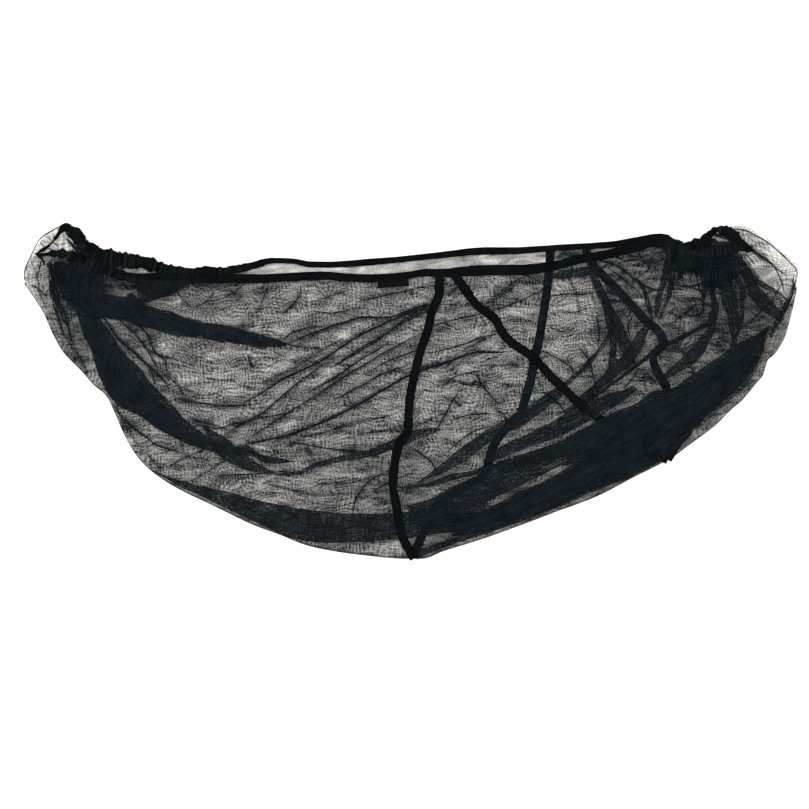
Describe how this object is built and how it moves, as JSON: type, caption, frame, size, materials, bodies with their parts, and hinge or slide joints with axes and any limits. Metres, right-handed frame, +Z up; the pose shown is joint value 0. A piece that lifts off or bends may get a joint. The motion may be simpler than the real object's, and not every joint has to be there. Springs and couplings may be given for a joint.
{
  "type": "bassinet mosquito net",
  "caption": "Black net bag with an elastic-gathered mouth, taped seams and a shaping gusset, laid flat in loose folds.",
  "frame": {"origin": "centre of the footprint, at the surface that the net lies on", "axes": "+X from the foot end to the head end, +Y from the folded edge of the bag towards its mouth, +Z up"},
  "size_m": [1.01, 0.4413, 0.0176],
  "materials": {
    "net": "sheer knitted polyester net, matt black threads with a faint sheen",
    "tape": "flat woven polyester tape, matt black, stitched along both edges",
    "binding": "folded woven binding, matt black, flat in the middle and ruffled over elastic at the ends",
    "label": "small black satin label, blank"
  },
  "bodies": {
    "root": {"foot_panel": "net", "gusset_panel": "net", "head_panel": "net", "foot_seam_tape": "tape", "head_seam_tape": "tape", "mouth_binding": "binding", "label": "label"}
  },
  "joints": []
}
